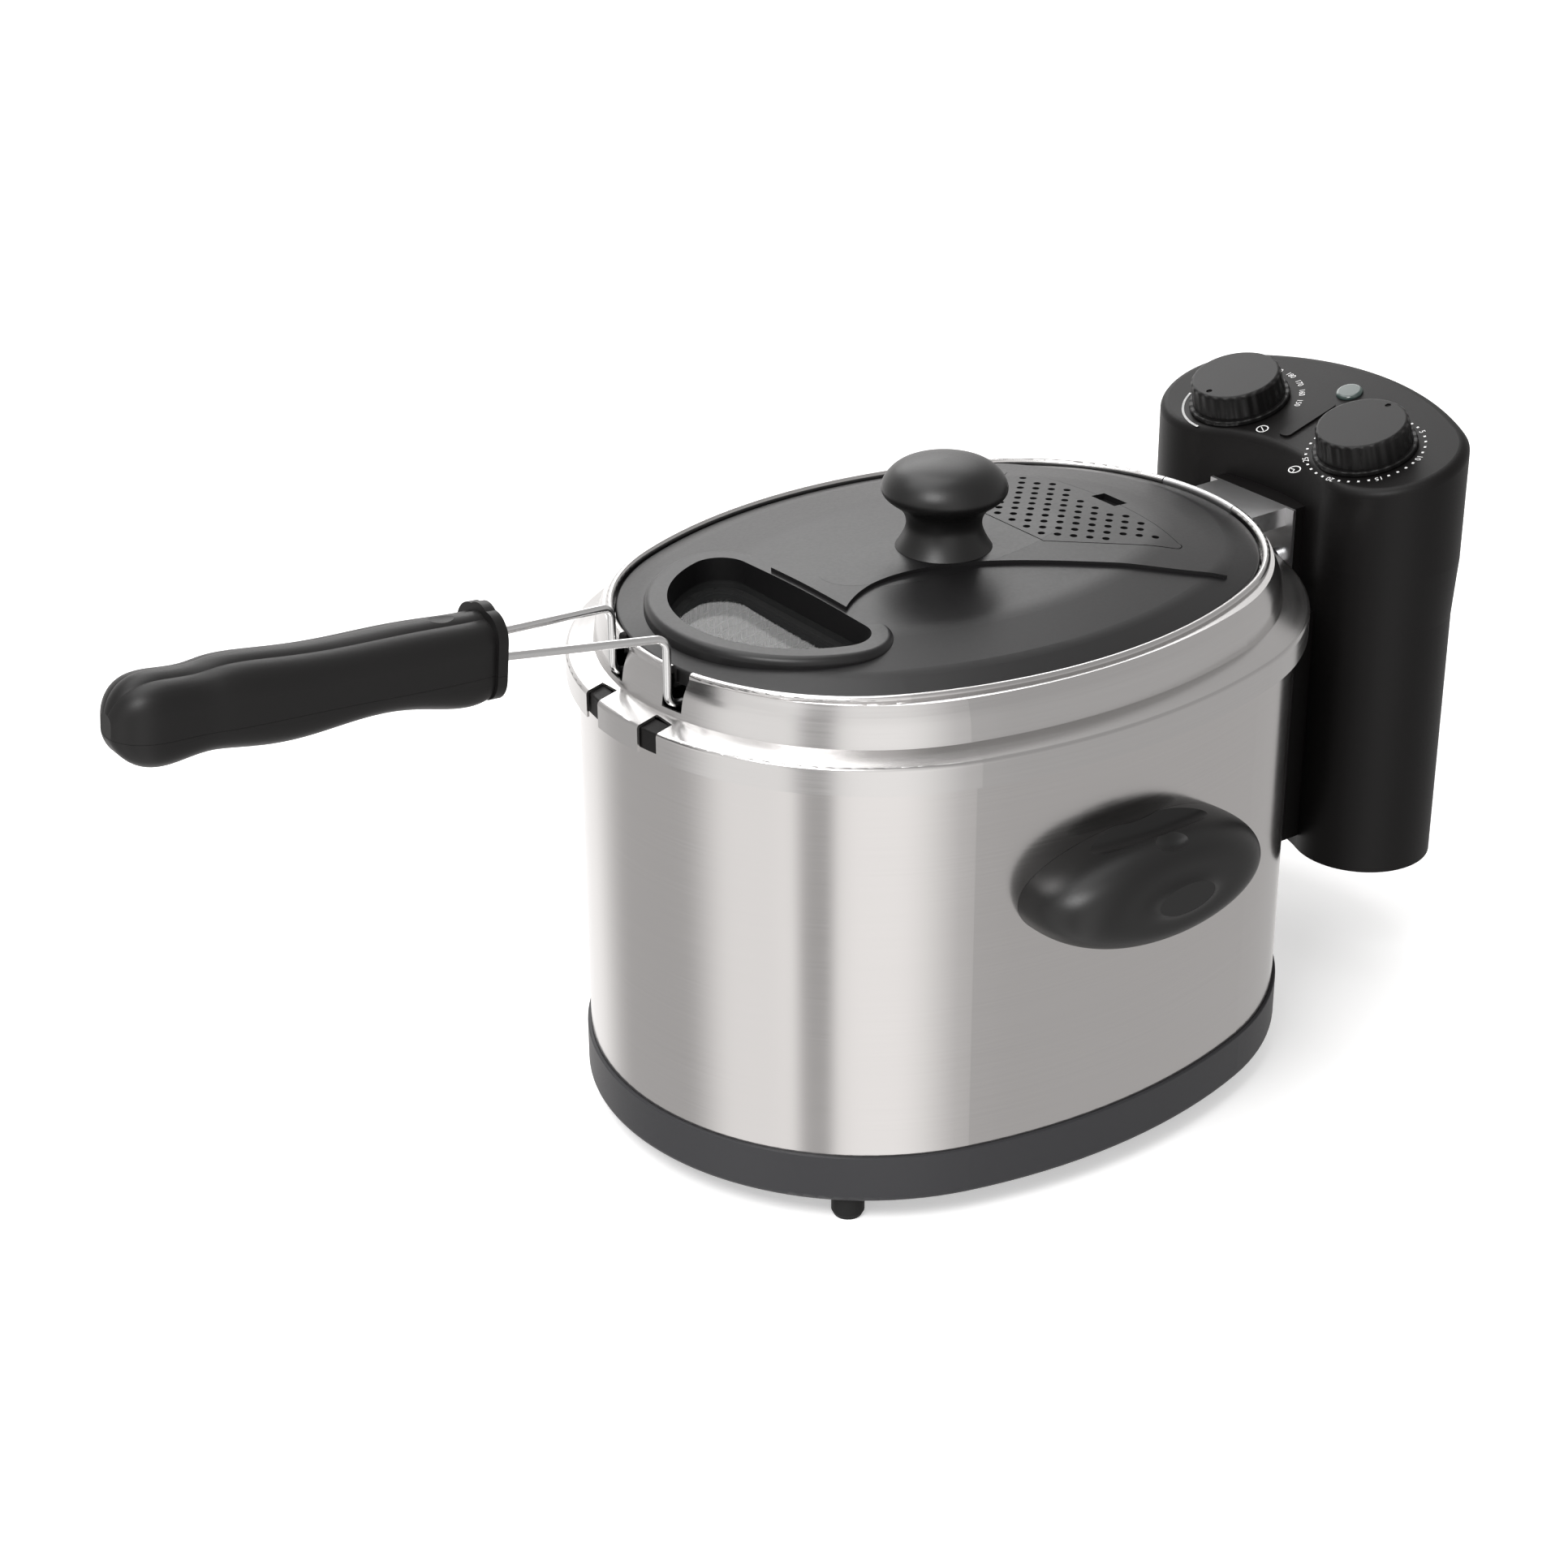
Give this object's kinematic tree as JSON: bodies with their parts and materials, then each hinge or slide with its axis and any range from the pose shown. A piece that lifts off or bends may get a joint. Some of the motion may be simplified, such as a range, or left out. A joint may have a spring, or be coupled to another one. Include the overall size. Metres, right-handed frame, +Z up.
{
  "type": "deep fryer",
  "caption": "Oval electric deep fryer with a windowed lid, lift-out basket on a long grip, removable bowl and a lift-off control head with two dials",
  "frame": {"origin": "on the floor under the middle of the overall box, between the feet's soles", "axes": "+X along the oval's long axis from the basket grip to the control head, +Y across it to the far side, +Z up"},
  "size_m": [0.5952, 0.294, 0.2639],
  "materials": {
    "brushed_steel": "vertical brushed",
    "polished_steel": "polished",
    "wire_steel": "bright wire",
    "element_steel": "satin",
    "zinc_steel": "zinc plated",
    "base_grey": "moulded",
    "black_plastic": "fine grain",
    "dial_black": "satin",
    "lid_black": "satin",
    "black_rubber": "matte",
    "clear_pane": "clear",
    "lens_green": "translucent",
    "lamp_glass": "clear",
    "filter_felt": "felt",
    "pale_insulator": "moulded"
  },
  "bodies": {
    "housing": {"base_tray": "base_grey", "feet": "black_rubber", "base_screws": "zinc_steel", "housing_shell": "brushed_steel", "housing_collar": "black_plastic", "side_handle_near": "black_plastic", "side_handle_far": "black_plastic", "handle_screws": "zinc_steel"},
    "bowl": {"oil_bowl": "polished_steel", "bowl_rim": "polished_steel"},
    "control_head": {"head_shell": "black_plastic", "head_rear_cover": "black_plastic", "cover_screws": "zinc_steel", "cord_bush": "black_rubber", "element_bracket": "polished_steel", "bracket_screws": "zinc_steel", "bracket_nuts": "zinc_steel", "timer_body": "pale_insulator", "thermostat_body": "pale_insulator", "indicator_lens": "lens_green", "indicator_lamp": "lamp_glass", "heating_element": "element_steel", "thermostat_bulb": "element_steel", "bulb_clip": "element_steel", "head_chassis": "zinc_steel", "terminal_block": "pale_insulator", "safety_switch": "pale_insulator"},
    "thermostat_dial": {"thermostat_knob": "dial_black", "thermostat_shaft": "zinc_steel"},
    "timer_dial": {"timer_knob": "dial_black", "timer_shaft": "zinc_steel"},
    "basket": {"basket_mesh": "wire_steel", "basket_rim_wire": "wire_steel", "basket_handle_wires": "wire_steel", "grip_upper": "black_plastic", "grip_lower": "black_plastic", "grip_screws": "zinc_steel"},
    "lid": {"lid_cover": "lid_black", "window_gasket": "black_rubber", "lid_window": "clear_pane", "filter_mat": "filter_felt", "lid_knob": "black_plastic", "lid_knob_screw": "zinc_steel"},
    "filter_lid": {"filter_cover": "lid_black"}
  },
  "joints": [
    {"name": "bowl_lift", "type": "slide", "parent": "housing", "child": "bowl", "axis": [0, 0, 1], "range_m": [0, 0.17]},
    {"name": "head_lift", "type": "slide", "parent": "bowl", "child": "control_head", "axis": [0, 0, 1], "range_m": [0, 0.17]},
    {"name": "basket_lift", "type": "slide", "parent": "control_head", "child": "basket", "axis": [0, 0, 1], "range_m": [0, 0.16]},
    {"name": "lid_lift", "type": "slide", "parent": "basket", "child": "lid", "axis": [0, 0, 1], "range_m": [0, 0.12]},
    {"name": "filter_lift", "type": "slide", "parent": "lid", "child": "filter_lid", "axis": [0, 0, 1], "range_m": [0, 0.04]},
    {"name": "thermostat_turn", "type": "hinge", "parent": "control_head", "child": "thermostat_dial", "pos_m": [0.24963, 0.0374, 0.2336], "axis": [0.2756, 0, -0.9613], "range_deg": [0, 270]},
    {"name": "timer_turn", "type": "hinge", "parent": "control_head", "child": "timer_dial", "pos_m": [0.24963, -0.0374, 0.2336], "axis": [0.2756, 0, -0.9613], "range_deg": [0, 300]}
  ]
}
